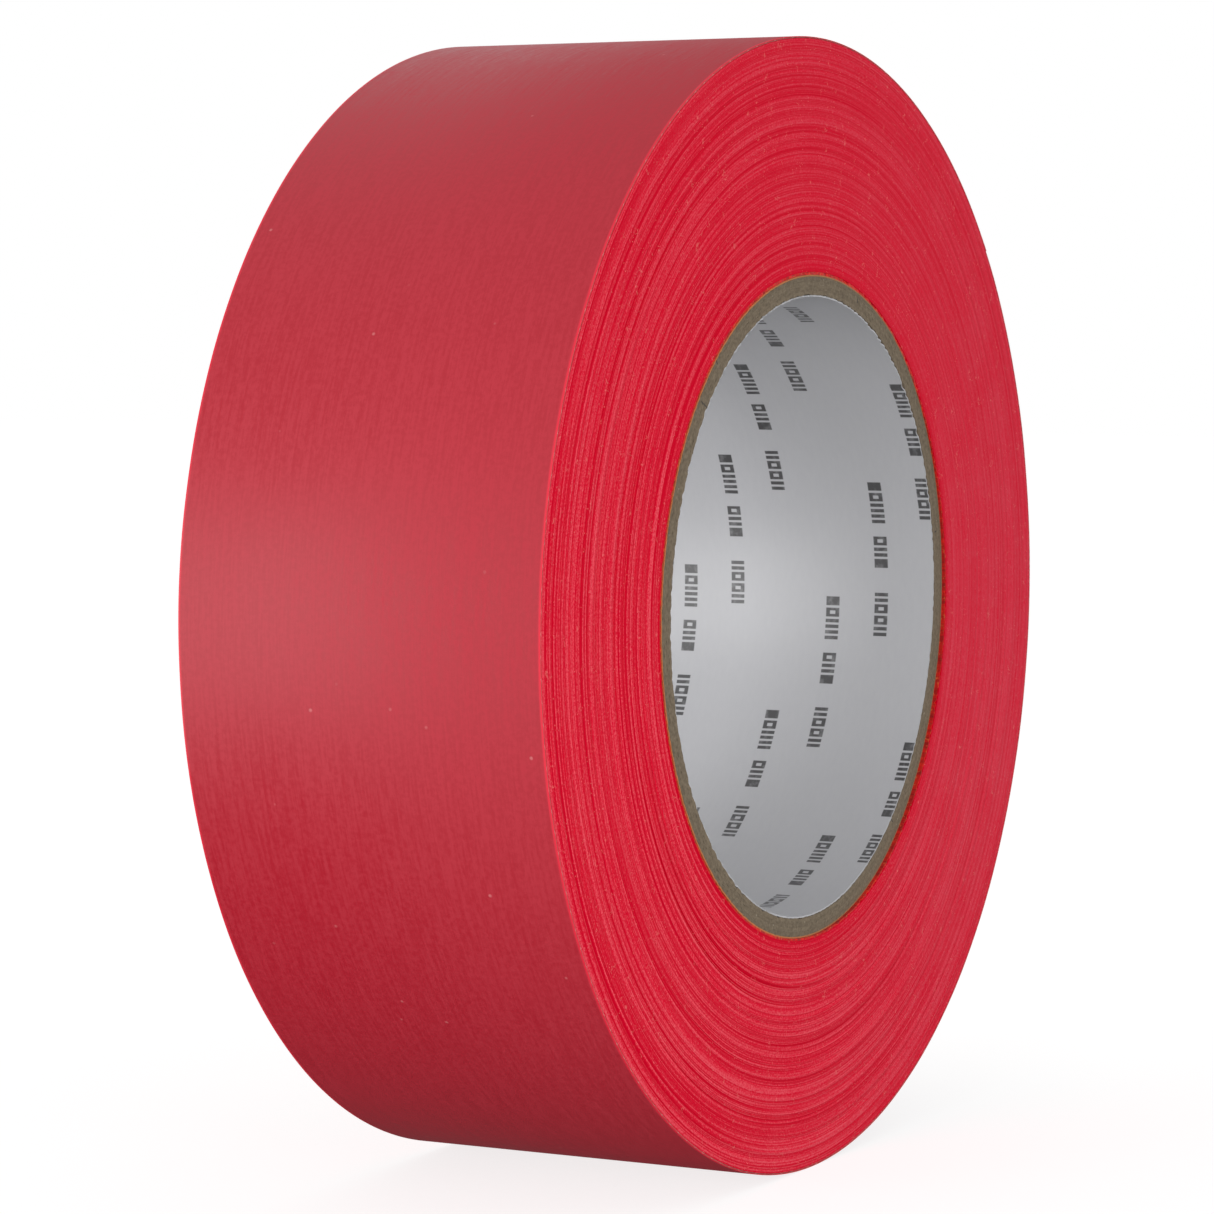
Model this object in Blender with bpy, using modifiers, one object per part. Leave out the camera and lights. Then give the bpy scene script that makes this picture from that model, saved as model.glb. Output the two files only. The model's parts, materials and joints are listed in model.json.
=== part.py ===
# Duct tape roll, standing on its rim. A spirally wound paperboard core carries the wound tape, whose
# last turn is built up in its three layers: film, cloth scrim and adhesive. The tape's free end lies
# closed on the roll and peels outwards about four hinge lines.
# Metres, +Z up. The roll's axis lies along Y, and the origin is the middle of the core.

from math import pi, radians, tau

import bpy
import numpy as np

# Driving dimensions.
TAPE_WIDTH = 0.048
TAPE_THICKNESS = 0.00019
ROLL_RADIUS = 0.071
CORE_RADIUS = 0.0415
BORE_RADIUS = 0.0388

# The tape's layers, from the outside in. The adhesive takes the rest of its thickness.
FILM_THICKNESS = 0.000075
SCRIM_THICKNESS = 0.00003
LAYER_GAP = 0.00001

# The core: a printed paper liner, four chipboard plies and a kraft wrap, with a glue line between.
LINER_THICKNESS = 0.00015
WRAP_THICKNESS = 0.00018
PLY_COUNT = 4
GLUE_LINE = 0.00005
SEAM_WIDTH = 0.0002
SEAM_PITCH = 0.148  # along the axis, for one full turn of a ply's seam
SEAM_START = radians(132)  # where the liner's seam starts, at the back; each ply's is a step further round
SEAM_STEPS = 30
SEAM_OVERRUN = 0.001  # how far the seam blade runs past the board on every side

# Clearances between the turns, and where the tape is divided along its length.
TURN_GAP = 0.00002
CUT_GAP = 0.00005

# Round pieces have this many flats, and one flat faces each way along X and Z.
FACETS = 96
FACET_ANGLE = tau / FACETS

# The free end's outer edge lies on corner END_CORNER, and its segments run back from there.
END_CORNER = 10
SEGMENT_COUNT = 4
SEGMENT_FACETS = 3
ROOT_CORNER = END_CORNER + SEGMENT_COUNT * SEGMENT_FACETS
START_CORNER = 40  # where the tape starts on the core


def clear_scene():
    for obj in list(bpy.data.objects):
        bpy.data.objects.remove(obj, do_unlink=True)


def new_collection(name):
    collection = bpy.data.collections.new(name)
    bpy.context.scene.collection.children.link(collection)
    return collection


def new_material(name, color, roughness):
    material = bpy.data.materials.new(name)
    material.use_nodes = True
    shader = material.node_tree.nodes["Principled BSDF"]
    shader.inputs["Base Color"].default_value = (*color, 1.0)
    shader.inputs["Roughness"].default_value = roughness
    shader.inputs["Metallic"].default_value = 0.0
    return material


def new_empty(name, parent=None, location=(0.0, 0.0, 0.0), rotation=(0.0, 0.0, 0.0)):
    empty = bpy.data.objects.new(name, None)
    empty.empty_display_size = 0.01
    empty.parent = parent
    empty.location = location
    empty.rotation_euler = rotation
    parts.objects.link(empty)
    return empty


def add_object(name, data, parent, material, collection):
    obj = bpy.data.objects.new(name, data)
    obj.parent = parent
    if material:
        data.materials.append(material)
    collection.objects.link(obj)
    return obj


def shade_smooth(mesh):
    mesh.shade_smooth()
    mesh.set_sharp_from_angle(angle=radians(30))


def corner_angles(corners):
    return (np.asarray(corners) + 0.5) * FACET_ANGLE


def outer_radius(corners):
    """The roll's outer radius at each corner of its last turn, which winds inwards by one tape."""
    return ROLL_RADIUS - TAPE_THICKNESS * (np.asarray(corners) - END_CORNER) / FACETS


def strip_points(corners, radii):
    """Points of a strip that stops half a gap short at each end."""
    angles = corner_angles(corners)
    trim = CUT_GAP / 2 / ROLL_RADIUS
    angles[0] += trim
    angles[-1] -= trim
    return np.column_stack([radii * np.cos(angles), radii * np.sin(angles)])


def add_spline(curve, points, cyclic=False):
    spline = curve.splines.new("POLY")
    spline.points.add(len(points) - 1)
    for point, (x, y) in zip(spline.points, points):
        point.co = (x, y, 0.0, 1.0)
    spline.use_cyclic_u = cyclic


def add_strip(name, points, thickness, parent, material):
    """A ribbon of tape width through the points, thickened towards the roll's axis."""
    curve = bpy.data.curves.new(name, "CURVE")
    curve.dimensions = "2D"
    curve.fill_mode = "NONE"
    curve.extrude = TAPE_WIDTH / 2
    add_spline(curve, points)
    strip = add_object(name, curve, parent, material, parts)
    solidify = strip.modifiers.new("Thickness", "SOLIDIFY")
    solidify.thickness = thickness
    solidify.offset = 1.0
    solidify.use_even_offset = True
    return strip


def add_tape_layers(prefix, suffix, corners, parent, origin=(0.0, 0.0)):
    """The film, scrim and adhesive of one stretch of the outermost tape."""
    adhesive_thickness = TAPE_THICKNESS - FILM_THICKNESS - SCRIM_THICKNESS - 2 * LAYER_GAP
    layers = (
        ("film", FILM_THICKNESS, film_red),
        ("scrim", SCRIM_THICKNESS, scrim_cotton),
        ("adhesive", adhesive_thickness, adhesive_pink),
    )
    depth = 0.0
    for layer, thickness, material in layers:
        points = strip_points(corners, outer_radius(corners) - depth) - origin
        add_strip(f"{prefix}_{layer}{suffix}", points, thickness, parent, material)
        depth += thickness + LAYER_GAP


def add_tube(name, inner, outer, material):
    """A turned tube of tape width: the profile runs down its outer side and up its inner side."""
    half = TAPE_WIDTH / 2
    profile = [(outer, 0, half), (outer, 0, -half), (inner, 0, -half), (inner, 0, half)]
    mesh = bpy.data.meshes.new(name)
    mesh.from_pydata(profile, [(0, 1), (1, 2), (2, 3), (3, 0)], [])
    tube = add_object(name, mesh, roll_axis, material, parts)
    tube.rotation_euler.z = FACET_ANGLE / 2
    screw = tube.modifiers.new("Turn", "SCREW")
    screw.steps = FACETS
    screw.render_steps = FACETS
    screw.use_merge_vertices = True
    screw.merge_threshold = 1e-6
    return tube


def cut_seam(tube, inner, outer, angle):
    """Opens the ply's butt seam, a helix that climbs by SEAM_PITCH in one full turn."""
    length = TAPE_WIDTH + 2 * SEAM_OVERRUN
    bottom = -length / 2
    blade_profile = [(inner - SEAM_OVERRUN, 0, bottom), (outer + SEAM_OVERRUN, 0, bottom)]
    mesh = bpy.data.meshes.new(tube.name + "_seam_blade")
    mesh.from_pydata(blade_profile, [(0, 1)], [])
    blade = add_object(mesh.name, mesh, roll_axis, None, cutters)
    blade.rotation_euler.z = angle
    blade.hide_render = True
    blade.display_type = "WIRE"
    screw = blade.modifiers.new("Climb", "SCREW")
    screw.angle = tau * length / SEAM_PITCH
    screw.screw_offset = length
    screw.steps = SEAM_STEPS
    screw.render_steps = SEAM_STEPS
    solidify = blade.modifiers.new("Width", "SOLIDIFY")
    solidify.thickness = SEAM_WIDTH
    solidify.offset = 0.0
    boolean = tube.modifiers.new("Seam", "BOOLEAN")
    boolean.operation = "DIFFERENCE"
    boolean.solver = "EXACT"
    boolean.object = blade


def add_core():
    """The core's layers from the bore outwards, each wound with its seam clear of its neighbours'."""
    board = CORE_RADIUS - BORE_RADIUS - LINER_THICKNESS - WRAP_THICKNESS
    ply_thickness = (board - (PLY_COUNT + 1) * GLUE_LINE) / PLY_COUNT
    layers = [("core_liner", LINER_THICKNESS, liner_paper)]
    for number in range(1, PLY_COUNT + 1):
        layers.append((f"core_ply_{number}", ply_thickness, chipboard))
    layers.append(("core_wrap", WRAP_THICKNESS, kraft_paper))
    inner = BORE_RADIUS
    for index, (name, thickness, material) in enumerate(layers):
        outer = inner + thickness
        tube = add_tube(name, inner, outer, material)
        cut_seam(tube, inner, outer, SEAM_START + index * tau / len(layers))
        inner = outer + GLUE_LINE


def add_first_turn():
    """The tape's first turn, from its start on the core once round to where it meets that edge."""
    corners = np.arange(START_CORNER, START_CORNER + FACETS + 1)
    radii = np.full(len(corners), CORE_RADIUS + TURN_GAP + TAPE_THICKNESS)
    add_strip("tape_first_turn", strip_points(corners, radii), TAPE_THICKNESS, roll_axis, wound_red)


def add_winding():
    """All the turns between the first and the last, with the step where the last turn dips under."""
    curve = bpy.data.curves.new("tape_winding", "CURVE")
    curve.dimensions = "2D"
    curve.fill_mode = "BOTH"
    curve.extrude = TAPE_WIDTH / 2
    outside = np.arange(END_CORNER, END_CORNER + FACETS + 1)
    angles = corner_angles(outside)
    radii = outer_radius(outside) - TAPE_THICKNESS - TURN_GAP
    add_spline(curve, np.column_stack([radii * np.cos(angles), radii * np.sin(angles)]), cyclic=True)
    angles = corner_angles(np.arange(FACETS))
    radius = CORE_RADIUS + TAPE_THICKNESS + 2 * TURN_GAP
    add_spline(curve, radius * np.column_stack([np.cos(angles), np.sin(angles)]), cyclic=True)
    add_object("tape_winding", curve, roll_axis, wound_red, parts)


def add_last_turn():
    """The outermost turn's three layers, from the free end's root back round to the step."""
    corners = np.arange(ROOT_CORNER, END_CORNER + FACETS + 1)
    add_tape_layers("last_turn", "", corners, roll_axis)


def add_free_end():
    """The free end in short segments. Each hangs on the one before, from a hinge line on the film."""
    parent = roll_axis
    parent_place = np.zeros(2)
    for number in range(1, SEGMENT_COUNT + 1):
        corner = ROOT_CORNER - (number - 1) * SEGMENT_FACETS
        angle = corner_angles(corner)
        place = outer_radius(corner) * np.array([np.cos(angle), np.sin(angle)])
        hinge = new_empty(f"end_hinge_{number}", parent, (*(place - parent_place), 0.0))
        corners = np.arange(corner - SEGMENT_FACETS, corner + 1)
        add_tape_layers("end", f"_{number}", corners, hinge, place)
        parent = hinge
        parent_place = place


clear_scene()
parts = new_collection("duct_tape_roll")
cutters = new_collection("cutters")

film_red = new_material("film_red", (0.50, 0.036, 0.052), 0.42)
wound_red = new_material("wound_red", (0.62, 0.022, 0.045), 0.5)
scrim_cotton = new_material("scrim_cotton", (0.72, 0.68, 0.62), 0.9)
adhesive_pink = new_material("adhesive_pink", (0.58, 0.16, 0.15), 0.35)
liner_paper = new_material("liner_paper", (0.56, 0.56, 0.58), 0.75)
chipboard = new_material("chipboard", (0.17, 0.135, 0.095), 0.95)
kraft_paper = new_material("kraft_paper", (0.34, 0.19, 0.095), 0.85)

# Turned so that a shape drawn in the local XY plane stands upright, its width along Y.
roll_axis = new_empty("roll_axis", rotation=(pi / 2, 0.0, 0.0))

add_core()
add_first_turn()
add_winding()
add_last_turn()
add_free_end()

for piece in parts.objects:
    if piece.type == "MESH":
        shade_smooth(piece.data)
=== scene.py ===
import json
import math

import bpy
import numpy as np
from mathutils import Matrix, Vector


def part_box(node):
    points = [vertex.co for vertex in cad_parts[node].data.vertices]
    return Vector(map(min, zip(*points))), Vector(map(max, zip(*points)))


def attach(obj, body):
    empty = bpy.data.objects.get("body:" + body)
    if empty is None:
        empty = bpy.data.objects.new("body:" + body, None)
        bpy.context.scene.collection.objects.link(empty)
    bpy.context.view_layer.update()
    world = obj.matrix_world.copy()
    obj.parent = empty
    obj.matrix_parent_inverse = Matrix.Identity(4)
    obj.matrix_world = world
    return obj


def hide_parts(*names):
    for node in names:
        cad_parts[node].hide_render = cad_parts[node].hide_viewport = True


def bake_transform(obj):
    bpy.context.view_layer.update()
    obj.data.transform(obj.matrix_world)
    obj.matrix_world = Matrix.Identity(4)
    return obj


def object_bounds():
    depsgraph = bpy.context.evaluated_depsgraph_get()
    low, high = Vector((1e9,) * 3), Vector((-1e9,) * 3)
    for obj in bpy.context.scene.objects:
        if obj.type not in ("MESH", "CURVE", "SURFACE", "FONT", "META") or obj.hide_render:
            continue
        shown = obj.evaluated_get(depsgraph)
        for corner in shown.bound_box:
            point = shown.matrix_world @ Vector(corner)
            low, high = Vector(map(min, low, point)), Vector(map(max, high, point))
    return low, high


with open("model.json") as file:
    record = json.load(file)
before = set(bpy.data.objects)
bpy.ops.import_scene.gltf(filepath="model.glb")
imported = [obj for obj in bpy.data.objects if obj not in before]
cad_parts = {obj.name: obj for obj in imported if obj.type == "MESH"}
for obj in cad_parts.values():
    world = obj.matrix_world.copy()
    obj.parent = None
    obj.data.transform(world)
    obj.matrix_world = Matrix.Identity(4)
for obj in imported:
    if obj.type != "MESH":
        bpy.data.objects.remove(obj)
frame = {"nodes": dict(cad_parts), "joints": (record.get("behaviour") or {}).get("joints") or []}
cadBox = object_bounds()
print("frame loaded")

# A red duct tape roll standing on its rim. Its axis lies along Y and the core's centre is the origin.
# Round the roll, an angle is measured from +X towards +Z. All sizes are in metres.

turn = 2 * math.pi
millimetre = 0.001

tape = {
    "thickness": 0.19 * millimetre,
    "film": 0.075 * millimetre,
    "scrim": 0.03 * millimetre,
    "layerGap": 0.01 * millimetre,
    "turnGap": 0.02 * millimetre,
}


def nodeRadii(node):
    # The two radii that most of a turned node's corners lie on, inner first
    points = np.array([vertex.co for vertex in frame["nodes"][node].data.vertices])
    radii, counts = np.unique(np.round(np.hypot(points[:, 0], points[:, 2]), 5), return_counts=True)
    return np.sort(radii[np.argsort(counts)[-2:]])


# The free end's hinge lines give the winding's angle and radius at each of them
hinges = [joint["pos_m"] for joint in frame["joints"]]
hingeAngles = [math.atan2(z, x) for x, y, z in hinges]
segmentAngle = hingeAngles[0] - hingeAngles[1]
endAngle = hingeAngles[-1] - segmentAngle
rimRadius = math.hypot(hinges[-1][0], hinges[-1][2]) + tape["thickness"] * segmentAngle / turn
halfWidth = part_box("tape_winding")[1].y


def outerRadius(angle):
    # Falls by one tape thickness in the turn that follows the free end's edge
    return rimRadius - tape["thickness"] * (angle - endAngle) / turn


def ripple(where, seed, slowest, fastest, count=12, closed=False):
    # Sum of cosines of seeded pace and phase, with unit spread. Closed takes whole paces only.
    draw = np.random.default_rng(seed)
    pace = draw.uniform(slowest, fastest, count)
    if closed:
        pace = np.round(pace)
    phase = draw.uniform(0, turn, count)
    waves = np.cos(turn * np.asarray(where)[..., None] * pace + phase)
    return waves.sum(axis=-1) * math.sqrt(2 / count)


def ringPoints(radius, angle, across):
    # Points at a radius and an angle round the roll's axis, and a distance along it
    return np.stack(np.broadcast_arrays(radius * np.cos(angle), across, radius * np.sin(angle)), axis=-1)


def gridFaces(ids):
    return np.stack([ids[:-1, :-1], ids[1:, :-1], ids[1:, 1:], ids[:-1, 1:]], axis=-1).reshape(-1, 4)


def wallFaces(near, far):
    return np.stack([near[:-1], near[1:], far[1:], far[:-1]], axis=-1).reshape(-1, 4)


def buildPiece(name, points, faces, attributes, sharpAngle=50):
    mesh = bpy.data.meshes.new(name)
    mesh.vertices.add(len(points))
    mesh.vertices.foreach_set("co", points.astype(np.float32).ravel())
    mesh.loops.add(faces.size)
    mesh.loops.foreach_set("vertex_index", faces.astype(np.int32).ravel())
    mesh.polygons.add(len(faces))
    mesh.polygons.foreach_set("loop_start", np.arange(0, faces.size, 4, dtype=np.int32))
    mesh.update(calc_edges=True)
    for label, values in attributes.items():
        layer = mesh.attributes.new(label, "FLOAT", "POINT")
        layer.data.foreach_set("value", np.asarray(values, np.float32).ravel())
    mesh.shade_smooth()
    mesh.set_sharp_from_angle(angle=math.radians(sharpAngle))
    piece = bpy.data.objects.new(name, mesh)
    bpy.context.scene.collection.objects.link(piece)
    return piece


def closedSheet(name, outside, inside, attributes, sharpAngle=50):
    # Two grids of points, one for each side of a sheet, joined by walls along their four edges
    outer = np.arange(outside[..., 0].size).reshape(outside.shape[:2])
    inner = outer + outer.size
    faces = [gridFaces(outer), gridFaces(inner)[:, ::-1]]
    faces.append(wallFaces(outer[0], inner[0]))
    faces.append(wallFaces(outer[-1, ::-1], inner[-1, ::-1]))
    faces.append(wallFaces(outer[::-1, 0], inner[::-1, 0]))
    faces.append(wallFaces(outer[:, -1], inner[:, -1]))
    points = np.concatenate([outside.reshape(-1, 3), inside.reshape(-1, 3)])
    doubled = {label: np.tile(np.asarray(values).ravel(), 2) for label, values in attributes.items()}
    return buildPiece(name, points, np.concatenate(faces), doubled, sharpAngle)


def place(piece, body, node, material):
    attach(piece, body)
    dress(piece, node, material)


def dress(piece, node, material):
    piece.data.materials.append(material)
    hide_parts(node)


class Shade:
    # One socket of a node tree. Arithmetic on it adds Math nodes, and node() adds any other kind.
    def __init__(self, tree, socket=None):
        self.tree = tree
        self.socket = socket

    def node(self, kind, settings=None, inputs=None, output=0):
        added = self.tree.nodes.new(kind)
        for name, value in (settings or {}).items():
            setattr(added, name, value)
        for name, value in (inputs or {}).items():
            if isinstance(value, Shade):
                self.tree.links.new(value.socket, added.inputs[name])
            else:
                added.inputs[name].default_value = value
        return Shade(self.tree, added.outputs[output])

    def sums(self, operation, first, second=0.0):
        return self.node("ShaderNodeMath", {"operation": operation}, {0: first, 1: second})

    def __add__(self, other):
        return self.sums("ADD", self, other)

    __radd__ = __add__

    def __sub__(self, other):
        return self.sums("SUBTRACT", self, other)

    def __rsub__(self, other):
        return self.sums("SUBTRACT", other, self)

    def __mul__(self, other):
        return self.sums("MULTIPLY", self, other)

    __rmul__ = __mul__

    def __truediv__(self, other):
        return self.sums("DIVIDE", self, other)

    def __lt__(self, other):
        return self.sums("LESS_THAN", self, other)

    def __gt__(self, other):
        return self.sums("GREATER_THAN", self, other)

    def __mod__(self, other):
        return self.sums("FLOORED_MODULO", self, other)

    def floor(self):
        return self.sums("FLOOR", self)

    def size(self):
        return self.sums("ABSOLUTE", self)

    def root(self):
        return self.sums("SQRT", self)

    def clamped(self):
        return self.node("ShaderNodeClamp", None, {"Value": self})

    def attribute(self, name):
        return self.node("ShaderNodeAttribute", {"attribute_name": name}, output="Fac")

    def vector(self, x, y, z=0.0):
        return self.node("ShaderNodeCombineXYZ", None, {0: x, 1: y, 2: z})

    def strip(self, alongPace, acrossPace):
        # A place on the tape or the liner, from the piece's own distances, stretched for a pattern
        return self.vector(self.attribute("along") * alongPace, self.attribute("across") * acrossPace)

    def noise(self, where, scale, detail=2.0, roughness=0.5):
        values = {"Vector": where, "Scale": scale, "Detail": detail, "Roughness": roughness}
        return self.node("ShaderNodeTexNoise", None, values)

    def cells(self, where, scale):
        return self.node("ShaderNodeTexVoronoi", None, {"Vector": where, "Scale": scale})

    def band(self, low, high):
        # Rises smoothly from 0 at low to 1 at high
        values = {"Value": self, "From Min": low, "From Max": high}
        return self.node("ShaderNodeMapRange", {"interpolation_type": "SMOOTHSTEP"}, values)

    def blend(self, share, first, second):
        values = {0: share, 6: first, 7: second}
        return self.node("ShaderNodeMix", {"data_type": "RGBA"}, values, output=2)


def newMaterial(name):
    # A Principled shader on its own, with the maths wrapper for its tree
    material = bpy.data.materials.new(name)
    material.use_nodes = True
    shader = material.node_tree.nodes["Principled BSDF"]
    return material, shader, Shade(material.node_tree)


def feed(shader, shade, name, value):
    if isinstance(value, Shade):
        shade.tree.links.new(value.socket, shader.inputs[name])
    else:
        shader.inputs[name].default_value = value


def addBump(shader, shade, height, distance, strength=1.0):
    values = {"Height": height, "Distance": distance, "Strength": strength}
    feed(shader, shade, "Normal", shade.node("ShaderNodeBump", None, values))


filmLook = {
    "streakPaces": (150, 2300),
    "broadPaces": (9, 260),
    "mottlePaces": (1500, 1300),
    "speckPace": 330,
    "rarePace": 120,
    "edgeWidth": 0.4 * millimetre,
    "edgeCrisp": 0.06 * millimetre,
    "red": (0.44, 0.009, 0.024, 1),
    "paleRed": (0.49, 0.019, 0.037, 1),
    # The edge red is a painted highlight and glow along the cut edges
    "edgeHighlightRed": (0.85, 0.02, 0.05, 1),
    "speck": (0.7, 0.22, 0.22, 1),
    "roughness": 0.42,
    "scuffed": 0.2,
    "gloss": 0.4,
    "relief": 0.01 * millimetre,
}


def paintFilm():
    # Smooth film: streaks along the tape, faint mottle, a few pale specks, and cut edges painted brighter
    # red, a painted highlight and glow
    material, shader, shade = newMaterial("filmRed")
    look = filmLook
    across = shade.attribute("across")
    streaks = shade.noise(shade.strip(*look["streakPaces"]), 1.0, 4.0, 0.75)
    broad = shade.noise(shade.strip(*look["broadPaces"]), 1.0, 3.0, 0.6)
    mottle = shade.noise(shade.strip(*look["mottlePaces"]), 1.0, 3.0, 0.7)
    specks = shade.cells(shade.strip(look["speckPace"], look["speckPace"]), 1.0)
    rare = shade.noise(shade.strip(look["rarePace"], look["rarePace"]), 1.0, 1.0).band(0.55, 0.66)
    speck = (1 - specks.band(0.03, 0.1)) * rare
    # Painted highlight: the cut edges are painted brighter, for the light they catch and let through
    edgeHighlight = across.size().band(halfWidth - look["edgeWidth"], halfWidth - look["edgeCrisp"])
    share = (streaks - 0.5) * 4.2 + (mottle - 0.5) * 3.4 + (broad - 0.5) * 0.6 + 0.5
    color = shade.blend(share.clamped(), look["red"], look["paleRed"])
    color = shade.blend(speck * 0.55, color, look["speck"])
    color = shade.blend(edgeHighlight * 0.9, color, look["edgeHighlightRed"])
    feed(shader, shade, "Base Color", color)
    gloss = (streaks - 0.5) * 0.5 + (broad - 0.5) * 0.1 + (mottle - 0.5) * 0.3
    scuff = (1 - across.band(-halfWidth, halfWidth * 0.6)) * look["scuffed"]
    feed(shader, shade, "Roughness", gloss + scuff + look["roughness"])
    feed(shader, shade, "Specular IOR Level", look["gloss"])
    addBump(shader, shade, streaks * 0.6 + mottle * 0.7 + speck * 2, look["relief"])
    return material


woundLook = {
    # The deep red paints shade into the grooves and on the top of each side
    "deep": (0.6, 0.0, 0.018, 1),
    "red": (0.71, 0.002, 0.028, 1),
    # The pale on the smooth +X side is a painted sheen, and the pale on the rough -X side is painted light
    "sheenPale": (0.68, 0.075, 0.115, 1),
    "litPale": (0.84, 0.09, 0.12, 1),
    "speck": (0.93, 0.3, 0.26, 1),
    "gloss": 0.04,
    "roughness": 0.55,
    "relief": 0.04 * millimetre,
    "innerBand": (41.8 * millimetre, 44 * millimetre),
}


def layerPlace(shade, here, tangential, radial):
    # A place in a space where patterns follow the turns: direction from the axis, and distance from it.
    # The distance itself comes second.
    parts = [shade.node("ShaderNodeSeparateXYZ", None, {0: here}, axis) for axis in ("X", "Z")]
    radius = (parts[0] * parts[0] + parts[1] * parts[1]).root()
    x, z = (part / radius * tangential for part in parts)
    return shade.vector(x, z, radius * radial), radius


def paintWound():
    # Cut edges of the turns: each turn has its own tone, grooves are painted deeper red as painted shade,
    # and
    # fibre ends are pale. Where the turns lie less evenly the grain is stronger. Light is painted in by
    # angle too:
    # the +X side paler and greyer, a painted sheen, the -X side brighter red, painted light, and the top
    # darker, painted shade. The outer wall is plain film.
    material, shader, shade = newMaterial("woundRed")
    look = woundLook
    here = shade.node("ShaderNodeTexCoord", output="Object")
    # Tone holds each turn's own tone, plus painted shade on the top and painted light by side
    toneAndShading = shade.attribute("toneAndShading")
    grooveShade = shade.attribute("grooveShade")
    roughAndSideLight = shade.attribute("roughAndSideLight")
    flow = layerPlace(shade, here, 70, 5200)[0]
    streaks = shade.noise(flow, 1.0, 3.0, 0.65)
    grain = shade.noise(here, 3300.0, 3.0, 0.75)
    cloud = shade.noise(here, 130.0, 2.0)
    fleckFlow, radius = layerPlace(shade, here, 110, 2400)
    fleck = 1 - shade.cells(fleckFlow, 1.0).band(0.08, 0.22)
    fleck = fleck * shade.noise(here, 600.0, 1.0).band(0.5, 0.62)
    thread = 1 - (shade.noise(here, 1300.0, 1.0) - 0.5).size().band(0.01, 0.04)
    thread = thread * shade.noise(here, 700.0, 2.0).band(0.62, 0.7) * 0.6
    fibre = shade.sums("MAXIMUM", fleck * 0.8, thread)
    share = toneAndShading * 0.8 + (streaks - 0.5) * 1.2 + (grain - 0.5) * (roughAndSideLight * 4.2 + 0.4) + (cloud - 0.5) * 0.5
    inner = 1 - radius.band(*look["innerBand"])
    # Painted sheen and light: paler and greyer on the +X side, brighter on the -X side
    pale = shade.blend(roughAndSideLight.clamped(), look["sheenPale"], look["litPale"])
    color = shade.blend((share - inner * 0.35).clamped(), look["red"], pale)
    # Painted shade: the grooves and the top are painted deeper red
    color = shade.blend((grooveShade + inner * 0.15).clamped(), color, look["deep"])
    color = shade.blend(fibre * 0.55, color, look["speck"])
    feed(shader, shade, "Base Color", shade.blend(shade.attribute("wrapped"), color, filmLook["red"]))
    feed(shader, shade, "Roughness", look["roughness"])
    feed(shader, shade, "Specular IOR Level", look["gloss"])
    addBump(shader, shade, grain * roughAndSideLight * 1.2 + streaks * 0.6 + fibre, look["relief"])
    return material


firstTurnLook = {
    "dark": (0.34, 0.001, 0.003, 1),
    "light": (0.78, 0.012, 0.004, 1),
    "orange": (0.8, 0.2, 0.05, 1),
    "relief": 0.05 * millimetre,
}


def paintFirstTurn():
    # The turn on the core, stained by the glue: dark, with orange flecks
    material, shader, shade = newMaterial("firstTurnRed")
    here = shade.node("ShaderNodeTexCoord", output="Object")
    flow = layerPlace(shade, here, 60, 1500)[0]
    blotch = shade.noise(flow, 1.0, 3.0, 0.7)
    fleck = shade.noise(here, 2500.0, 2.0).band(0.6, 0.7)
    color = shade.blend(blotch.band(0.3, 0.7), firstTurnLook["dark"], firstTurnLook["light"])
    feed(shader, shade, "Base Color", shade.blend(fleck * 0.6, color, firstTurnLook["orange"]))
    feed(shader, shade, "Roughness", 0.5)
    addBump(shader, shade, blotch, firstTurnLook["relief"])
    return material


adhesiveLook = {
    "red": (0.52, 0.075, 0.075, 1),
    "pink": (0.66, 0.2, 0.18, 1),
    "warpPitch": 1.27 * millimetre,
    "weftPitch": 2.54 * millimetre,
    "threadWidth": 0.3 * millimetre,
    "wander": 0.4 * millimetre,
    "relief": 0.06 * millimetre,
}
scrimLook = {
    "ground": (0.6, 0.16, 0.15, 1),
    "thread": (0.74, 0.6, 0.55, 1),
    "relief": 0.03 * millimetre,
}


def threadMask(position, pitch):
    # 1 on the middle line of each thread, falling to 0 at its sides
    width = adhesiveLook["threadWidth"]
    return 1 - ((position + 10 * pitch) % pitch - pitch / 2).size().band(width / 4, width)


def gauze(shade, wander):
    # The gauze's two sets of threads, with their places shifted by the same wander
    warp = threadMask(shade.attribute("across") + wander, adhesiveLook["warpPitch"])
    weft = threadMask(shade.attribute("along") + wander, adhesiveLook["weftPitch"])
    return shade.sums("MAXIMUM", warp, weft)


def paintAdhesive():
    # Tacky layer with the gauze's threads raised under it
    material, shader, shade = newMaterial("adhesivePink")
    threads = gauze(shade, shade.noise(shade.strip(120, 120), 1.0, 2.0) * adhesiveLook["wander"])
    blobs = shade.noise(shade.strip(900, 900), 1.0, 3.0)
    color = shade.blend(threads * 0.7 + blobs * 0.3, adhesiveLook["red"], adhesiveLook["pink"])
    feed(shader, shade, "Base Color", color)
    feed(shader, shade, "Roughness", blobs * 0.3 + 0.22)
    addBump(shader, shade, threads * 1.0 + blobs * 0.5, adhesiveLook["relief"])
    return material


def paintScrim():
    # Pale gauze: crossing threads on a slightly darker ground
    material, shader, shade = newMaterial("scrimCotton")
    threads = gauze(shade, 0.0)
    feed(shader, shade, "Base Color", shade.blend(threads, scrimLook["ground"], scrimLook["thread"]))
    feed(shader, shade, "Roughness", 0.85)
    addBump(shader, shade, threads, scrimLook["relief"])
    return material


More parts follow.
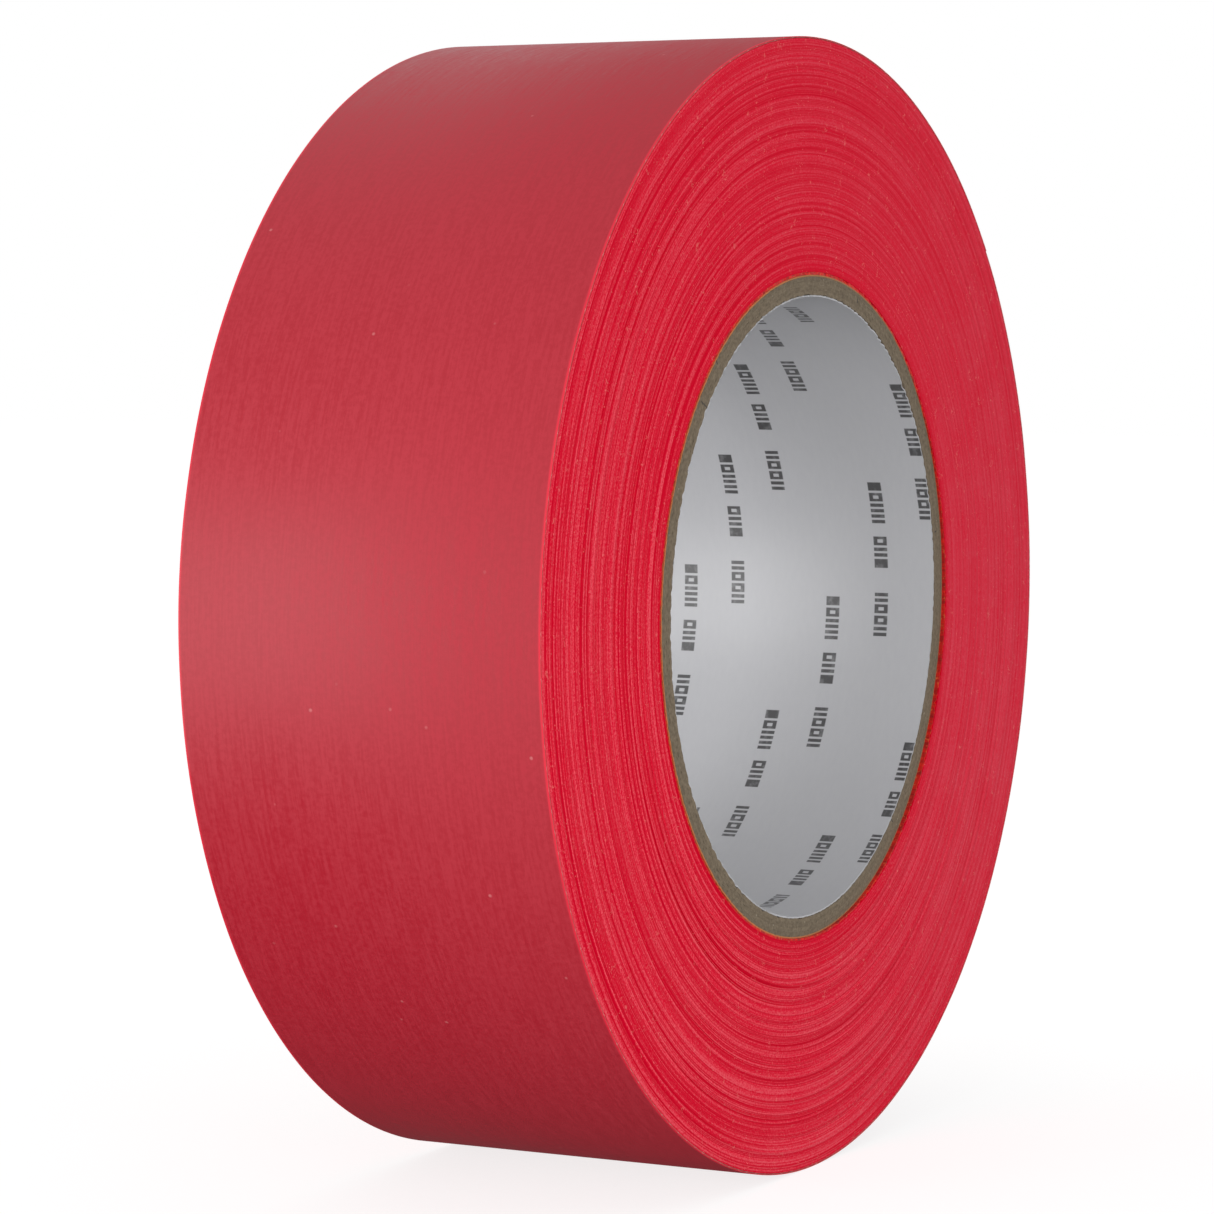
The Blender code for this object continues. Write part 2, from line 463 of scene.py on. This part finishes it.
linerLook = {
    "paper": (0.5, 0.5, 0.515, 1),
    "paperShade": (0.46, 0.46, 0.48, 1),
    "ink": (0.055, 0.053, 0.055, 1),
    "firstRow": -23 * millimetre,
    "rowPitch": 7.13 * millimetre,
    "rowShift": -15.91 * millimetre,
    "firstGroup": 9.3 * millimetre,
    "groupPitch": 51.47 * millimetre,
    "groupLength": 21.33 * millimetre,
    "halfHeight": 1.05 * millimetre,
    "marks": 14,
    "seamHalf": 0.13 * millimetre,
    "relief": 0.05 * millimetre,
}


def paintLiner():
    # White paper with staggered rows of plain printed blocks. A row's number is its distance from the
    # first row in row pitches, and a mark's number its place in its group. By its number a mark is a
    # pair of bars, a solid block, a hollow one or nothing.
    material, shader, shade = newMaterial("linerPaper")
    along = shade.attribute("along")
    across = shade.attribute("across")
    look = linerLook
    rows = (across - look["firstRow"]) / look["rowPitch"] + 0.5
    row = rows.floor()
    inRow = ((rows - row - 0.5) * look["rowPitch"]).size()
    inGroup = (along - row * look["rowShift"] - look["firstGroup"]) % look["groupPitch"]
    slot = inGroup / look["groupLength"] * look["marks"]
    number = slot.floor()
    inSlot = (slot - number - 0.5).size()
    kind = (number * 5 + 1) % 7
    tall = 1 - inRow.band(look["halfHeight"] * 0.85, look["halfHeight"])
    bars = 1 - (inSlot - 0.25).size().band(0.13, 0.18)
    block = 1 - inSlot.band(0.36, 0.43)
    hole = 1 - inRow.band(look["halfHeight"] * 0.3, look["halfHeight"] * 0.45)
    hollow = (1 - inSlot.band(0.12, 0.18)) * hole
    isBars = kind < 2.5
    isHollow = kind > 3.5
    isGap = (number - 4.5).size() < 0.6
    isGap = isGap + ((number - 9).size() < 0.4)
    mark = (isBars * bars + (1 - isBars) * (block - isHollow * hollow)) * (1 - isGap)
    mark = mark * tall * (inGroup < look["groupLength"])
    patchy = shade.noise(shade.strip(900, 900), 1.0, 2.0).band(0.2, 0.55)
    fibres = shade.noise(shade.strip(500, 1400), 1.0, 4.0, 0.6)
    paper = shade.blend(fibres, look["paper"], look["paperShade"])
    seam = seamLine(shade, look["seamHalf"])
    color = shade.blend(mark * (patchy * 0.3 + 0.68) * (1 - seam), paper, look["ink"])
    feed(shader, shade, "Base Color", shade.blend(seam * 0.6, color, boardLook["mid"]))
    feed(shader, shade, "Roughness", 0.38)
    feed(shader, shade, "Specular IOR Level", 0.7)
    addBump(shader, shade, fibres * 0.3 - seam, look["relief"])
    return material


boardLook = {
    "dark": (0.112, 0.085, 0.055, 1),
    "mid": (0.215, 0.168, 0.112, 1),
    "fleck": (0.5, 0.44, 0.34, 1),
    "seam": (0.06, 0.05, 0.04, 1),
    "seamHalf": 0.14 * millimetre,
    "relief": 0.03 * millimetre,
}


def seamLine(shade, halfLine):
    # 1 along the spiral butt seam
    return 1 - shade.attribute("seam").size().band(halfLine * 0.6, halfLine)


def paintBoard(name, lightness):
    # Cut chipboard: fibres drawn out round the ring, blotches and a few pale flecks
    material, shader, shade = newMaterial(name)
    here = shade.node("ShaderNodeTexCoord", output="Object")
    flow = layerPlace(shade, here, 60, 5000)[0]
    fibres = shade.noise(flow, 1.0, 3.0, 0.6)
    grit = shade.noise(here, 2600.0, 2.0)
    flecks = (1 - shade.cells(here, 1300.0).band(0.08, 0.2)) * shade.noise(here, 500.0, 1.0).band(0.6, 0.7)
    share = (fibres - 0.5) * 1.4 + (grit - 0.5) * 1.6 + (lightness + 0.5)
    color = shade.blend(share.clamped(), boardLook["dark"], boardLook["mid"])
    color = shade.blend(flecks * 0.5, color, boardLook["fleck"])
    color = shade.blend(seamLine(shade, boardLook["seamHalf"]), color, boardLook["seam"])
    feed(shader, shade, "Base Color", color)
    feed(shader, shade, "Roughness", 0.92)
    addBump(shader, shade, fibres * 0.6 + grit * 0.4, boardLook["relief"])
    return material


kraftLook = {
    "brownDark": (0.14, 0.1, 0.055, 1),
    "brown": (0.3, 0.17, 0.07, 1),
    "orangeDark": (0.34, 0.12, 0.035, 1),
    "orange": (0.66, 0.22, 0.07, 1),
    "crept": (-20 * millimetre, 30 * millimetre),
    "relief": 0.03 * millimetre,
}


def paintKraft():
    # Brown wrap. On the -X side the tape's adhesive has crept onto its edge and turned it orange.
    material, shader, shade = newMaterial("kraftPaper")
    here = shade.node("ShaderNodeTexCoord", output="Object")
    grain = shade.noise(here, 1800.0, 3.0)
    crept = 1 - shade.node("ShaderNodeSeparateXYZ", None, {0: here}, "X").band(*kraftLook["crept"])
    paper = shade.blend(grain, kraftLook["brownDark"], kraftLook["brown"])
    orange = shade.blend(grain, kraftLook["orangeDark"], kraftLook["orange"])
    feed(shader, shade, "Base Color", shade.blend(crept, paper, orange))
    feed(shader, shade, "Roughness", 0.7)
    addBump(shader, shade, grain, kraftLook["relief"])
    return material


# In millimetres. The stations are distances from a cut edge, closer together towards it.
stripEdge = {
    "stations": (0.0, 0.02, 0.06, 0.15, 0.4, 1.2, 3.5, 8.0, 15.0),
    "rounding": 0.02,
    "wander": 0.025,
}


def fullWidth(stations):
    # The stations measured in from both cut edges, with one more in the middle
    near = np.array(stations) * millimetre
    return np.concatenate([near - halfWidth, [0.0], (halfWidth - near)[::-1]])[:, None]


def tapeStrip(name, fromAngle, toAngle, depth, thickness, step=math.radians(0.5), ragged=0.0):
    # A stretch of the outermost turn at a depth below its face: radius falls along the spiral, and the
    # cut edges wander a little and are rounded over. A ragged start is a hand-torn or cut tape end.
    count = max(4, round((toAngle - fromAngle) / step)) + 1
    angle = np.linspace(fromAngle, toAngle, count)[None, :]
    across = fullWidth(stripEdge["stations"])
    fromEdge = halfWidth - np.abs(across)
    spread = np.exp(-fromEdge / (2 * millimetre))
    frontWaves, backWaves = (ripple(angle / turn, seed, 3, 40, 16, True) for seed in (7, 8))
    waves = np.where(across < 0, frontWaves, backWaves)
    wander = stripEdge["wander"] * millimetre * np.maximum(waves + 2.2, 0) / 3
    drop = stripEdge["rounding"] * millimetre * np.exp(-fromEdge / (0.04 * millimetre))
    width = across - np.sign(across) * wander * spread
    start = np.exp(-(angle - fromAngle) * rimRadius / (0.6 * millimetre)) * ragged
    shownAngle = angle + start * np.abs(ripple(across / halfWidth, 11, 2, 30, 20)) / rimRadius
    top = outerRadius(angle) - depth
    outside = ringPoints(top - drop, shownAngle, width)
    inside = ringPoints(top - thickness + drop * 0.2, shownAngle, width)
    along = np.broadcast_to((endAngle + turn - angle) * rimRadius, outside.shape[:2])
    attributes = {"along": along, "across": np.broadcast_to(across, along.shape)}
    return closedSheet(name, outside, inside, attributes)


def tapeLayers():
    # Name, depth, thickness, record slot and material of the tape's layers, from the outside in
    adhesive = tape["thickness"] - tape["film"] - tape["scrim"] - 2 * tape["layerGap"]
    depth = 0.0
    for layer, thickness, slot, material in (
        ("film", tape["film"], "film_red", filmRed),
        ("scrim", tape["scrim"], "scrim_cotton", scrimCotton),
        ("adhesive", adhesive, "adhesive_pink", adhesivePink),
    ):
        yield layer, depth, thickness, slot, material
        depth += thickness + tape["layerGap"]


def makeLastTurn():
    # The fixed part of the last turn, from the free end's root round to the step under its edge
    for layer, depth, thickness, slot, material in tapeLayers():
        name = "lastTurn" + layer.capitalize()
        toAngle = endAngle + turn - tape["turnGap"] / rimRadius
        piece = tapeStrip(name, hingeAngles[0], toAngle, depth, thickness)
        place(piece, "roll", "last_turn_" + layer, material)


freeEnd = {"rootBend": 5 * millimetre, "edgeRagged": 0.15 * millimetre, "step": math.radians(0.25)}


def makeFreeEnd():
    # Each stretch crosses one hinge line, and meets the next one in the middle of a rigid segment.
    # The first begins on its hinge line, so that nothing behind it is turned into the roll.
    halfSegment = segmentAngle / 2
    for index, hingeAngle in enumerate(hingeAngles):
        high = hingeAngle if index == 0 else hingeAngle + halfSegment
        last = index == len(hingeAngles) - 1
        low = endAngle if last else hingeAngle - halfSegment
        for layer, depth, thickness, slot, material in tapeLayers():
            name = f"end{layer.capitalize()}{index + 1}"
            ragged = freeEnd["edgeRagged"] if last else 0.0
            piece = tapeStrip(name, low, high, depth, thickness, freeEnd["step"], ragged)
            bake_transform(piece)
            dress(piece, f"end_{layer}_{index + 1}", material)


# Reliefs and depths are in millimetres, the lean is a share of the tape's thickness, and each side has a
# seed for its ripples and its direction along Y
winding = {
    "columns": 160,
    "layerRelief": 0.014,
    "groupRelief": 0.012,
    "grooveDepth": 0.02,
    "deepGroove": 0.05,
    "lean": 0.25,
    # The next two paint shade on the top of each side, in tone and in groove colour
    "topShade": 0.12,
    "topShadeGroove": 0.32,
    "sharpAngle": 65,
    "sides": ((100, -1), (200, 1)),
}


def woundSide(rows, innerRadius, seed, direction):
    # One cut side of the winding: radius grows by half a tape a row and one tape a turn. Odd rows are
    # the crowns of the turns, even rows the grooves between, and each crown leans towards the groove
    # outside it. Heights are a sum of a ripple along the tape's length, which neighbouring turns don't
    # share, and a slower one across many turns. Turns lie more evenly on the +X side. In colour the +X
    # side is painted paler and greyer, a painted sheen, and the -X side brighter, painted light. The top
    # is painted darker and the grooves deeper red, both painted shade.
    row, column = np.meshgrid(np.arange(rows), np.arange(winding["columns"] + 1), indexing="ij")
    crown = row % 2 == 1
    share = column / winding["columns"]
    angle = endAngle + turn - share * turn
    # Real unevenness of relief and grain, which also paints light by side: a painted sheen on +X, painted
    # light on -X
    unevenAndSideLight = 0.64 - 0.4 * np.cos(angle - 0.35)
    radius = innerRadius + tape["thickness"] * (row / 2 + share + winding["lean"] * crown)
    along = (row - 1) / 2 + share
    group = np.zeros_like(radius)
    for index in range(3):
        spoke = 1 + 0.6 * ripple(share, seed + 10 + index, 1, 4, 6, True)
        group += spoke * ripple(radius / millimetre, seed + 20 + index, 0.15, 0.9, 10)
    own = ripple(along, seed, 0.3, 5.5, 24)
    bundle = ripple(radius / millimetre, seed + 2, 0.3, 1.6, 12)
    bundle = bundle * (1 + 0.4 * ripple(share, seed + 3, 1, 3, 4, True))
    cut = 0.3 + 0.5 * ripple(along, seed + 1, 0.1, 2.2, 24) + 0.25 * bundle
    cut = np.clip(cut * unevenAndSideLight, 0, 1.4)
    height = winding["layerRelief"] * own * unevenAndSideLight + winding["groupRelief"] * group / 3
    depth = winding["grooveDepth"] * (0.4 + cut) + winding["deepGroove"] * np.maximum(cut - 0.8, 0)
    height = height - np.where(crown, 0.0, depth)
    height = height - height.max()
    # Painted shade: the top of each side is painted darker and deeper red
    topShade = np.clip(np.sin(angle + 0.2), 0, 1)
    toneAndShading = 0.62 - winding["topShade"] * topShade - 0.12 * unevenAndSideLight + (0.45 * own - 0.12 * bundle) * unevenAndSideLight
    # Painted shade: the grooves, and crowns beside strong ones, are painted deeper red
    grooveShade = np.where(crown, np.clip(cut * 2.4 - 1.0, 0, 1), np.clip(cut * 2.6, 0, 1))
    return {
        "points": ringPoints(radius, angle, direction * (halfWidth + height * millimetre)),
        "toneAndShading": np.clip(toneAndShading, 0, 1.2),
        "grooveShade": np.clip(grooveShade + winding["topShadeGroove"] * topShade, 0, 1),
        "roughAndSideLight": unevenAndSideLight,
        "wrapped": (row == rows - 1).astype(float),  # the outer wall, which is film
    }


def spiralPoints(values):
    # All of a side's grid but its last column, of which the two outermost points are kept
    flat = values.reshape(values.shape[0], values.shape[1], -1)
    return np.concatenate([flat[:, :-1].reshape(-1, flat.shape[-1]), flat[-2:, -1]])


def makeWinding():
    # Both cut sides as one spiral surface each, joined by an outer and an inner wall. Column by column
    # the spiral closes on the row two further out, which leaves a step inside and one outside.
    innerRadius = nodeRadii("tape_first_turn")[1] + tape["turnGap"]
    outermost = rimRadius - 2 * tape["thickness"] - tape["turnGap"]
    turns = round((outermost - innerRadius) / tape["thickness"])
    innerRadius = outermost - turns * tape["thickness"]
    rows = 2 * turns + 1
    columns = winding["columns"]
    front = np.empty((rows, columns + 1), int)
    front[:, :columns] = np.arange(rows * columns).reshape(rows, columns)
    front[:-2, columns] = front[2:, 0]
    front[-2:, columns] = rows * columns + np.arange(2)
    back = front + rows * columns + 2
    # Angles fall along the columns, so a front grid as it stands faces forwards
    faces = [gridFaces(front)[:, ::-1], gridFaces(back)]
    faces.append(wallFaces(front[-1], back[-1]))
    faces.append(wallFaces(back[0], front[0]))
    faces.append(wallFaces(back[-3:, -1], front[-3:, -1]))
    faces.append(wallFaces(front[:3, 0], back[:3, 0]))
    sides = [woundSide(rows, innerRadius, *side) for side in winding["sides"]]
    values = {label: np.concatenate([spiralPoints(side[label]) for side in sides]) for label in sides[0]}
    points = values.pop("points")
    piece = buildPiece("woundTape", points, np.concatenate(faces), values, winding["sharpAngle"])
    place(piece, "roll", "tape_winding", woundRed)


firstTurn = {"inset": 0.05 * millimetre, "ragged": 0.07 * millimetre, "columns": 720, "rows": 8}


def makeFirstTurn():
    # The turn on the core. Its outer radius grows by one tape thickness from end to end, as the spiral
    # above it does. Its inner wall shows where the core's end lies a little deeper.
    inner, outer = nodeRadii("tape_first_turn")
    share = np.linspace(0, 1, firstTurn["columns"] + 1)[None, :]
    across = np.linspace(-1, 1, firstTurn["rows"] + 1)[:, None]
    ragged = np.abs(ripple(share, 31, 20, 240, 30, True)) * firstTurn["ragged"]
    width = across * (halfWidth - firstTurn["inset"] - ragged)
    turned = endAngle + share * (turn - tape["turnGap"] / inner)
    outside = ringPoints(outer + tape["thickness"] * (1 - share), turned, width)
    inside = ringPoints(inner, turned, width)
    piece = closedSheet("tapeFirstTurn", outside, inside, {})
    place(piece, "roll", "tape_first_turn", firstTurnRed)


# Stations are in millimetres from each end. Boards gives the lightness of the four chipboard plies, from
# the bore outwards, and the splice stagger is in radians a ply.
core = {
    "seamPitch": 148 * millimetre,
    "seamStart": math.radians(132),
    "seamOverrun": 1 * millimetre,
    "columns": 900,
    "stations": (0.0, 0.04, 0.12, 0.3, 0.8, 2.0, 5.0, 12.0),
    "recess": 0.65 * millimetre,
    "recessAngle": math.radians(-35),
    "recessReach": 1.5 * millimetre,
    "squeeze": 0.042 * millimetre,
    "squeezeReach": 0.25 * millimetre,
    "spliceAngle": math.radians(139),
    "spliceStagger": 0.004,
    "splicedPlies": (1, 2, 3),
    "boards": (0.06, -0.1, 0.0, -0.14),
    "sharpAngle": 40,
}


def corePly(index, name, node, material, sink=0.0, frayed=0.02, bitten=0.0):
    # A tube with uneven ends. Its front end lies deepest at one side and comes level with the tape on
    # the other. Sink, fray and bite are in millimetres. The distance from the spiral seam, which climbs
    # one turn in a seam pitch, is kept for the material: twice the radius times the sine of half the
    # angle to the seam.
    inner, outer = nodeRadii(node)
    across = fullWidth(core["stations"])
    share = np.linspace(0, 1, core["columns"] + 1)[None, :]
    angle = core["seamStart"] + share * turn
    climb = (halfWidth + core["seamOverrun"] - across) / core["seamPitch"] * turn
    seam = 2 * inner * np.sin((angle - core["seamStart"] - index * turn / 6 - climb) / 2)
    if index in core["splicedPlies"]:
        # Where a new roll of board was spliced in, a short cut shows on the front end
        splice = 2 * inner * np.sin((angle - core["spliceAngle"] - core["spliceStagger"] * index) / 2)
        splice = splice + np.sign(splice) * (across + halfWidth) * 4
        seam = np.where(np.abs(splice) < np.abs(seam), splice, seam)
    frontShare = np.exp(-(across + halfWidth) / core["recessReach"])
    backShare = np.exp((across - halfWidth) / core["recessReach"])
    deepest = np.clip(np.cos(angle - core["recessAngle"]), 0, 1)
    fray = np.maximum(ripple(share, 41 + index, 20, 240, 30, True) + 0.5, 0)
    fray = (sink + fray * frayed * (1 - 0.8 * deepest)) * millimetre
    placed = across + frontShare * (core["recess"] * deepest + fray) - backShare * fray
    # The boards swell outwards at their ends, all but the wrap, and the innermost is bitten from inside
    endShare = np.exp(-(halfWidth - np.abs(across)) / core["squeezeReach"])
    bite = np.maximum(ripple(share, 61 + index, 20, 170, 30, True) + 0.2, 0) * bitten * millimetre
    outside = ringPoints(outer + endShare * core["squeeze"] * (index < 5), angle, placed)
    inside = ringPoints(inner + endShare * bite, angle, placed)
    shape = outside.shape[:2]
    along = np.broadcast_to((angle - turn) * inner, shape)
    attributes = {"along": along, "across": np.broadcast_to(across, shape), "seam": seam}
    piece = closedSheet(name, outside, inside, attributes, core["sharpAngle"])
    place(piece, "roll", node, material)


def makeCore():
    corePly(0, "coreLiner", "core_liner", linerPaper, sink=0.06, frayed=0.1)
    for number, lightness in enumerate(core["boards"], start=1):
        board = paintBoard(f"chipboard{number}", lightness)
        bitten = 0.09 if number == 1 else 0.0
        corePly(number, f"corePly{number}", f"core_ply_{number}", board, bitten=bitten)
    corePly(5, "coreWrap", "core_wrap", kraftPaper)


camera = {
    "azimuth": math.radians(-62.10),
    "elevation": math.radians(3.875),
    "distance": 0.5674,
    "right": -0.00456,
    "up": -0.00074,
    "lens": 131.7,
}


def lookBack(azimuth, elevation):
    # Unit vector from the roll towards a viewer, azimuth 0 being straight in front
    level = math.cos(elevation)
    return Vector((math.sin(azimuth) * level, -math.cos(azimuth) * level, math.sin(elevation)))


def addCamera():
    back = lookBack(camera["azimuth"], camera["elevation"])
    right = Vector((math.cos(camera["azimuth"]), math.sin(camera["azimuth"]), 0))
    up = back.cross(right)
    lens = bpy.data.cameras.new("camera")
    lens.lens = camera["lens"]
    lens.sensor_width = 36
    lens.clip_start = 0.01
    seat = bpy.data.objects.new("camera", lens)
    bpy.context.scene.collection.objects.link(seat)
    turned = Matrix((right, up, back)).transposed().to_4x4()
    offset = back * camera["distance"] + right * camera["right"] + up * camera["up"]
    seat.matrix_world = Matrix.Translation(offset) @ turned
    bpy.context.scene.camera = seat


def addSoftbox(name, azimuth, elevation, distance, width, height, power):
    back = lookBack(math.radians(azimuth), math.radians(elevation))
    light = bpy.data.lights.new(name, "AREA")
    light.shape = "RECTANGLE"
    light.size = width
    light.size_y = height
    light.energy = power
    box = bpy.data.objects.new(name, light)
    bpy.context.scene.collection.objects.link(box)
    box.location = back * distance
    box.rotation_euler = back.to_track_quat("Z", "Y").to_euler()


# Sky and ground are strengths of the light all round. Softboxes aim at the roll: azimuth and elevation
# in degrees, distance, width and height, and watts.
studio = {
    "sky": 0.7,
    "ground": 0.1,
    "softboxes": {
        "leftBack": (-112, 0, 1.1, 0.26, 0.72, 3.2),
        "back": (-145, -5, 1.1, 0.5, 0.7, 4.7),
        "lowLeft": (-85, -40, 0.9, 0.5, 0.5, 0.9),
        "frontLow": (-25, -5, 0.7, 0.4, 0.5, 3.05),
        "right": (76, 0, 0.9, 0.25, 0.8, 0.3),
    },
}


def addStudio():
    scene = bpy.context.scene
    scene.view_settings.view_transform = "Standard"
    world = bpy.data.worlds.new("studio")
    world.use_nodes = True
    tree = world.node_tree
    shade = Shade(tree)
    seen = shade.node("ShaderNodeLightPath", output="Is Camera Ray")
    here = shade.node("ShaderNodeTexCoord", output="Generated")
    height = shade.node("ShaderNodeSeparateXYZ", None, {0: here}, "Z")
    ambient = height.band(-0.1, 0.3) * (studio["sky"] - studio["ground"]) + studio["ground"]
    strength = seen + (1 - seen) * ambient
    background = tree.nodes["Background"]
    background.inputs["Color"].default_value = (1, 1, 1, 1)
    tree.links.new(strength.socket, background.inputs["Strength"])
    scene.world = world
    for name, setting in studio["softboxes"].items():
        addSoftbox(name, *setting)


floorLook = {"halfSize": 3.0, "drop": 0.05 * millimetre, "grey": 0.3, "glow": 0.8}


def addFloor():
    # A pale sheet with a glow of its own, which keeps shadows faint. It throws no light on the roll.
    corners = np.array([[-1, -1], [1, -1], [1, 1], [-1, 1]]) * floorLook["halfSize"]
    points = np.column_stack([corners, np.full(4, cadBox[0].z - floorLook["drop"])])
    mesh = bpy.data.meshes.new("floor")
    mesh.from_pydata(points.tolist(), [], [(0, 1, 2, 3)])
    floor = bpy.data.objects.new("floor", mesh)
    bpy.context.scene.collection.objects.link(floor)
    material, shader, shade = newMaterial("paleFloor")
    feed(shader, shade, "Base Color", (floorLook["grey"], floorLook["grey"], floorLook["grey"], 1))
    feed(shader, shade, "Roughness", 1.0)
    feed(shader, shade, "Specular IOR Level", 0.0)
    feed(shader, shade, "Emission Color", (1, 1, 1, 1))
    feed(shader, shade, "Emission Strength", floorLook["glow"])
    mesh.materials.append(material)
    floor.visible_diffuse = False
    floor.visible_glossy = False
    floor.visible_shadow = False


addCamera()
print("camera placed")
filmRed = paintFilm()
woundRed = paintWound()
firstTurnRed = paintFirstTurn()
adhesivePink = paintAdhesive()
scrimCotton = paintScrim()
linerPaper = paintLiner()
kraftPaper = paintKraft()
print("materials painted")
makeLastTurn()
makeFreeEnd()
print("last turn and free end made")
makeWinding()
makeFirstTurn()
print("wound tape made")
makeCore()
print("core made")
addStudio()
addFloor()
print("studio set")
